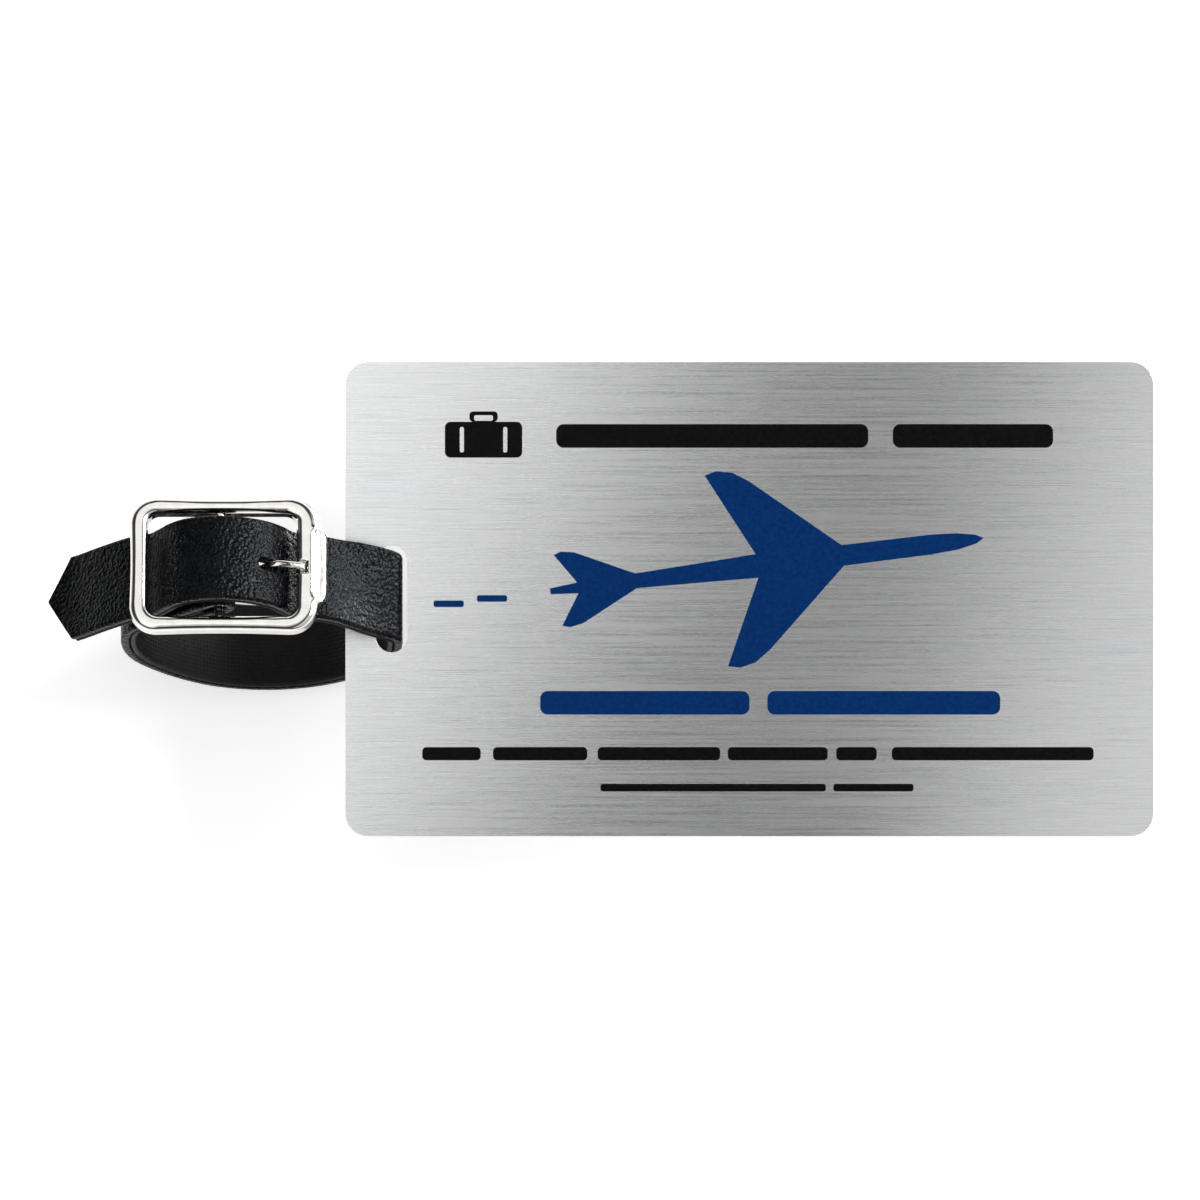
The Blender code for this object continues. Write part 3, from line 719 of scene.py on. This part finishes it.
def frame_outline():
    """Outer edge of the buckle: waisted long rails, round corners and the lip at the toe."""
    top, waist = FRAME_HALF_HEIGHT, FRAME_HALF_HEIGHT - FRAME_WAIST
    centre_x = (FRAME_LEFT + FRAME_RIGHT) / 2
    radius = FRAME_CORNER_RADIUS
    return rounded(
        [
            (FRAME_LEFT, -top, radius),
            (FRAME_LEFT + LEFT_BOW, 0, LEFT_BOW_RADIUS),
            (FRAME_LEFT, top, radius),
            (centre_x, waist, WAIST_RADIUS),
            (FRAME_RIGHT, top, radius),
            (FRAME_RIGHT, LIP_HALF_HEIGHT + LIP_SHOULDER, 0.4),
            (FRAME_LIP, LIP_HALF_HEIGHT - LIP_SHOULDER, 0.6),
            (FRAME_LIP, LIP_SHOULDER - LIP_HALF_HEIGHT, 0.6),
            (FRAME_RIGHT, -LIP_HALF_HEIGHT - LIP_SHOULDER, 0.4),
            (FRAME_RIGHT, -top, radius),
            (centre_x, -waist, WAIST_RADIUS),
        ]
    )


def build_buckle_frame(material):
    """One ring of sections between the window and the outer edge, with the lip sloped and the notch sunk."""
    middle = np.array(((WINDOW_LEFT + WINDOW_RIGHT) / 2, 0.0))
    window_half = ((WINDOW_RIGHT - WINDOW_LEFT) / 2, WINDOW_HALF_HEIGHT)
    window = box_outline(middle, window_half, WINDOW_CORNER_RADIUS)
    perimeter, _ = even_line(np.vstack([window, window[:1]]), METAL_STEP)
    angles = np.arctan2(perimeter[:-1, 1] - middle[1], perimeter[:-1, 0] - middle[0])
    near, far = reach_of(window, middle, angles), reach_of(frame_outline(), middle, angles)
    wrap, kernel = OUTLINE_SMOOTHING // 2, np.hanning(OUTLINE_SMOOTHING)
    far = np.convolve(np.concatenate([far[-wrap:], far, far[:wrap]]), kernel / kernel.sum(), "valid")

    level, thick = (FRAME_LOW + FRAME_HIGH) / 2, (FRAME_HIGH - FRAME_LOW) / 2
    straight = thick - FRAME_EDGE_ROUND
    flat_across, round_across, flat_up, round_up = section_of()
    half_width = ((far - near) / 2)[:, None]
    wide_edge = FRAME_EDGE_ROUND * np.clip(half_width / NARROW_RAIL, 1, 1.2)
    edge = np.minimum(wide_edge, 0.9 * half_width)
    distance = (near + far)[:, None] / 2 + (half_width - edge) * flat_across + edge * round_across
    ray_x, ray_y = np.cos(angles)[:, None], np.sin(angles)[:, None]
    x, y = middle[0] + ray_x * distance, middle[1] + ray_y * distance
    z = np.tile(level + straight * flat_up + FRAME_EDGE_ROUND * round_up, (len(angles), 1))

    inside_lip = LIP_HALF_HEIGHT + LIP_BLEND / 2 - np.abs(ray_y * far[:, None])
    on_lip = smoothstep(inside_lip / LIP_BLEND) * (x > middle[0])
    above = np.clip((z - level) / straight, 0, 1)
    z = z - LIP_DROP * on_lip * above * smoothstep((x - LIP_SLOPE_STARTS) / LIP_SLOPE_LENGTH)
    inside_notch = NOTCH_WIDTH / 2 + NOTCH_CLEARANCE - np.abs(y + FRAME_MIDDLE_Y - PRONG_Y)
    in_notch = smoothstep(inside_notch / NOTCH_SIDE_SLOPE) * (x > WINDOW_RIGHT - 1)
    in_notch = in_notch * smoothstep((NOTCH_END - x) / NOTCH_END_SLOPE)
    floor = FRAME_HIGH - NOTCH_DEPTH
    z = np.where(z > floor, z + (floor - z) * in_notch, z)
    points = np.stack([x, y + FRAME_MIDDLE_Y, z], -1).reshape(-1, 3)
    faces = grid_faces(len(angles), len(flat_up))[:, ::-1]
    piece = mesh_of("buckle_polished_frame", points, faces, loop_frame, material)
    belongs(piece, "buckle", "nickel", "buckle_frame")


def build_prong(material):
    """Flat-sided arm that tapers to a round tip, joined to the eye that turns on the centre bar."""
    line, places = even_line(smooth_line(PRONG_POINTS), METAL_STEP)
    side = sideways(line)
    turn = np.linspace(0, 2 * math.pi, 24, endpoint=False)
    left = places[-1] - places
    tip = np.sqrt(np.clip(1 - (1 - np.minimum(left / PRONG_TIP_LENGTH, 1)) ** 2, 0.0025, 1))
    tapered = smoothstep((places - PRONG_TAPER_STARTS) / PRONG_TAPER_LENGTH)
    wide = PRONG_WIDTH / 2 * tip * (1 - PRONG_TAPER * tapered)
    thick = PRONG_THICKNESS / 2 * tip
    y = PRONG_Y + wide[:, None] * power(np.cos(turn), 0.7)[None, :]
    lift = thick[:, None] * power(np.sin(turn), 0.7)[None, :]
    x = line[:, None, 0] - side[:, None, 0] * lift
    z = line[:, None, 1] - side[:, None, 1] * lift
    points = np.stack([x, y, z], -1).reshape(-1, 3)
    rows, columns = len(line), len(turn)
    faces = grid_faces(rows, columns).reshape(rows, columns, 4)[:-1].reshape(-1, 4)
    arm = mesh_of("buckle_prong_polished", points, faces, loop_frame, material)

    around = np.linspace(0, 2 * math.pi, 72, endpoint=False)
    middle, half = (PRONG_EYE_INNER + PRONG_EYE_OUTER) / 2, (PRONG_EYE_OUTER - PRONG_EYE_INNER) / 2
    radius = middle + half * power(np.cos(turn), 0.6)
    x = BAR_CENTRE[0] + radius * np.cos(around)[:, None]
    y = np.tile(PRONG_Y + PRONG_WIDTH / 2 * power(np.sin(turn), 0.6), (len(around), 1))
    z = BAR_CENTRE[1] + radius * np.sin(around)[:, None]
    eye_points = np.stack([x, y, z], -1).reshape(-1, 3)
    eye = mesh_of("prong_eye", eye_points, grid_faces(len(around), columns), loop_frame, material)
    for piece in (arm, eye):
        bm = bmesh.new()
        bm.from_mesh(piece.data)
        bmesh.ops.holes_fill(bm, edges=[e for e in bm.edges if e.is_boundary])
        bmesh.ops.recalc_face_normals(bm, faces=bm.faces)
        bm.to_mesh(piece.data)
        bm.free()
    join = arm.modifiers.new("eye", "BOOLEAN")
    join.operation = "UNION"
    join.object = eye
    apply_modifiers(arm)
    bpy.data.objects.remove(eye)
    arm.data.shade_smooth()
    belongs(arm, "prong", "nickel", "buckle_prong")


# Plate and its print

def flat_mesh(name, loops, low, high):
    """Solid in millimetres between closed outlines, from low to high along Z."""
    curve = bpy.data.curves.new(name, "CURVE")
    curve.dimensions = "2D"
    curve.fill_mode = "BOTH"
    curve.extrude = (high - low) / 2
    for loop in loops:
        spline = curve.splines.new("POLY")
        spline.points.add(len(loop) - 1)
        for point, (x, y) in zip(spline.points, loop):
            point.co = (x, y, 0, 1)
        spline.use_cyclic_u = True
    holder = add_object(name + "_outline", curve)
    bpy.context.view_layer.update()
    filled = holder.evaluated_get(bpy.context.evaluated_depsgraph_get())
    mesh = bpy.data.meshes.new_from_object(filled)
    bpy.data.objects.remove(holder)
    bm = bmesh.new()
    bm.from_mesh(mesh)
    bmesh.ops.remove_doubles(bm, verts=bm.verts, dist=WELD_DISTANCE)
    bmesh.ops.recalc_face_normals(bm, faces=bm.faces)
    bmesh.ops.translate(bm, verts=bm.verts, vec=(0, 0, (low + high) / 2))
    bm.to_mesh(mesh)
    bm.free()
    mesh.materials.clear()
    return mesh


def build_plate():
    plate_half = (PLATE_LENGTH / 2, PLATE_WIDTH / 2)
    rim = box_outline((0, 0), plate_half, PLATE_CORNER_RADIUS, 5, clockwise=True)
    end = SLOT_WIDTH / 2
    straight = SLOT_LENGTH / 2 - end
    slot = np.vstack([arc((SLOT_X, straight), end, 0, 180, 6), arc((SLOT_X, -straight), end, 180, 360, 6)])
    mesh = flat_mesh("plate", [rim, slot], -FACE_Z, FACE_Z)
    plate = add_object("plate_brushed", mesh)
    mesh.materials.append(brushed_face())
    mesh.materials.append(bright_rim())
    bevel = plate.modifiers.new("rim", "BEVEL")
    bevel.width = PLATE_BEVEL
    bevel.segments = 2
    bevel.limit_method = "ANGLE"
    bevel.angle_limit = math.radians(60)
    bevel.material = 1
    apply_modifiers(plate)
    mesh = plate.data
    layer = mesh.uv_layers.new(name="brush")
    co = np.empty(len(mesh.vertices) * 3, np.float32)
    mesh.vertices.foreach_get("co", co)
    co = co.reshape(-1, 3)
    corner = np.empty(len(mesh.loops), np.int32)
    mesh.loops.foreach_get("vertex_index", corner)
    layer.data.foreach_set("uv", (co[corner][:, [1, 0]] / 100).ravel())
    for face in mesh.polygons:
        if abs(face.normal.z) < 0.99:
            face.material_index = 1
    mesh.transform(plate_frame)
    mesh.shade_smooth()
    mesh.set_sharp_from_angle(angle=math.radians(20))
    for face in mesh.polygons:
        face.use_smooth = face.material_index == 1
    belongs(plate, "plate", "brushed_metal", "tag_plate")


def print_piece(name, loops, material):
    """Thin layer of ink on the plate's face."""
    mesh = flat_mesh(name, loops, FACE_Z, FACE_Z + INK_THICKNESS)
    mesh.transform(plate_frame)
    mesh.materials.append(material)
    belongs(add_object(name, mesh), "plate", "brushed_metal")


def bar(start, end, y, height):
    """Rounded bar that stands for a word."""
    return box_outline(((start + end) / 2, y), ((end - start) / 2, height / 2), height * 0.32, INK_STEP)


def jet_outline():
    """Airliner seen from above, nose towards +X, turned up by the angle of climb."""
    half = [
        (1.0, 0.0),
        (0.965, 0.045),
        (0.88, 0.083),
        (0.76, 0.1),
        (0.36, 0.105),
        (-0.02, 0.86),
        (-0.09, 0.965),
        (-0.16, 1.0),
        (-0.215, 0.97),
        (-0.03, 0.12),
        (-0.2, 0.105),
        (-0.58, 0.075),
        (-0.84, 0.36),
        (-0.90, 0.385),
        (-0.935, 0.36),
        (-0.845, 0.055),
        (-0.97, 0.03),
    ]
    outline = half + [(x, -y) for x, y in reversed(half[1:])]
    c, s = math.cos(JET_CLIMB), math.sin(JET_CLIMB)
    placed = []
    for x, y in outline:
        x, y = x * JET_LENGTH / 2, y * JET_SPAN / 2
        placed.append((JET_MIDDLE[0] + c * x - s * y, JET_MIDDLE[1] + s * x + c * y))
    return placed


def build_print():
    black = ink("black_ink", (0.001, 0.001, 0.001), (0.003, 0.003, 0.003))
    navy = ink("navy_ink", (0.0, 0.014, 0.07), (0.0, 0.022, 0.105))
    x, y = SUITCASE
    case = [box_outline((x, y), (4.1, 1.9), 0.6, INK_STEP)]
    for shift in (-2.3, 2.3):
        case.append(box_outline((x + shift, y), (0.22, 1.35), 0.18, INK_STEP, clockwise=True))
    print_piece("print_suitcase", case, black)
    handle = [
        box_outline((x, y + 2.45), (1.5, 0.55), 0.4, INK_STEP),
        box_outline((x, y + 2.3), (1.0, 0.3), 0.2, INK_STEP, clockwise=True),
    ]
    print_piece("print_suitcase_handle", handle, black)
    line_one = ((-34.7, -28.5), (-27.2, -17.2), (-16.1, -3.1), (-2.3, 8.3), (9.2, 13.5), (15.1, 36.5))
    rows = (
        ("title", black, 17.3, 2.5, ((-20.5, 12.6), (15.2, 32.2))),
        ("subtitle", navy, -11.0, 2.5, ((-22.2, 0.0), (1.9, 26.6))),
        ("line_one", black, -16.4, 1.4, line_one),
        ("line_two", black, -20.0, 0.8, ((-15.8, 8.1), (8.9, 17.4))),
    )
    for name, material, y, height, words in rows:
        print_piece("print_" + name, [bar(start, end, y, height) for start, end in words], material)
    print_piece("print_jet", [jet_outline()], navy)
    for k in range(2):
        start = TRAIL_STARTS + DASH_SPACING * k
        behind = start + DASH_LENGTH / 2 - JET_MIDDLE[0]
        y = JET_MIDDLE[1] + math.tan(JET_CLIMB) * behind
        print_piece(f"print_dash_{k}", [bar(start, start + DASH_LENGTH, y, 0.7)], navy)


# Stage

def build_stage():
    bpy.ops.mesh.primitive_plane_add(size=6.0)
    floor = bpy.context.object
    floor.name = "floor"
    made, _, shader = new_material("floor_white", (0.9, 0.9, 0.9), 0.9)
    shader.inputs["Emission Color"].default_value = (1, 1, 1, 1)
    shader.inputs["Emission Strength"].default_value = 0.5
    floor.data.materials.append(made)

    world = bpy.context.scene.world or bpy.data.worlds.new("studio")
    bpy.context.scene.world = world
    world.use_nodes = True
    tree = world.node_tree
    direction = add_node(tree, "ShaderNodeTexCoord").outputs["Generated"]
    split = add_node(tree, "ShaderNodeSeparateXYZ")
    tree.links.new(direction, split.inputs["Vector"])
    ramp = add_node(tree, "ShaderNodeValToRGB")
    stops = ramp.color_ramp.elements
    stops[0].position = 0.0
    stops[0].color = (0.8, 0.8, 0.8, 1)
    stops[1].position = 0.10
    stops[1].color = (0.75, 0.75, 0.75, 1)
    for place, shade in ((0.2, 0.05), (0.8, 0.06), (0.93, 0.21), (1.0, 0.22)):
        stop = stops.new(place)
        stop.color = (shade, shade, shade * 1.01, 1)
    tree.links.new(split.outputs["Z"], ramp.inputs["Fac"])
    tree.links.new(ramp.outputs["Color"], tree.nodes["Background"].inputs["Color"])


def add_card(name, place, aim, size, radiance, tint=(1, 1, 1), spin=0.0):
    """Rectangular soft light: place and aim are in the plate's frame, in metres."""
    light = bpy.data.lights.new(name, "AREA")
    light.shape = "RECTANGLE"
    light.size, light.size_y = size
    light.energy = radiance * math.pi * size[0] * size[1]
    light.color = tint
    card = add_object(name, light)
    at, to = plate_frame_metres @ Vector(place), plate_frame_metres @ Vector(aim)
    back = (at - to).normalized()
    side = plate_up.cross(back).normalized()
    facing = Matrix((side, back.cross(side), back)).transposed().to_4x4()
    card.matrix_world = Matrix.Translation(at) @ facing @ Matrix.Rotation(spin, 4, "Z")
    card.visible_camera = False


def build_lights():
    """Cards left and right leave the middle of the plate darker, and the key rakes across from the right."""
    slant = math.radians(-22)
    add_card("left_card", (-0.108, 0.0, 0.12), (-0.108, 0.0, 0.0), (0.16, 0.32), 0.5, spin=slant)
    add_card("left_far_card", (-0.202, 0.0, 0.3), (-0.202, 0.0, 0.0), (0.3, 0.7), 0.62, spin=slant)
    add_card("right_card", (0.184, 0.0, 0.14), (0.184, 0.0, 0.0), (0.3, 0.5), 0.62, spin=math.radians(-13))
    add_card("key", (0.6, 0.3, 0.42), (-0.03, 0, 0), (0.36, 0.4), 24.0, (1.0, 0.99, 0.97))


def build_camera():
    """Looks straight down on the plate, from above the middle of the whole tag."""
    data = bpy.data.cameras.new("camera")
    data.sensor_width = SENSOR_WIDTH
    data.lens = SENSOR_WIDTH * CAMERA_DISTANCE / CAMERA_FIELD
    camera = add_object("camera", data)
    camera.matrix_world = plate_frame_metres @ Matrix.Translation((*CAMERA_AIM, CAMERA_DISTANCE))
    bpy.context.scene.camera = camera
    bpy.context.scene.view_settings.view_transform = "Standard"


polished = nickel()
build_camera()
build_stage()
build_lights()
build_plate()
build_print()
build_strap()
build_buckle_frame(polished)
build_prong(polished)
for name in ("buckle_center_bar", "rivet_post", "rivet_cap"):
    frame["nodes"][name].data.materials.clear()
    frame["nodes"][name].data.materials.append(polished)
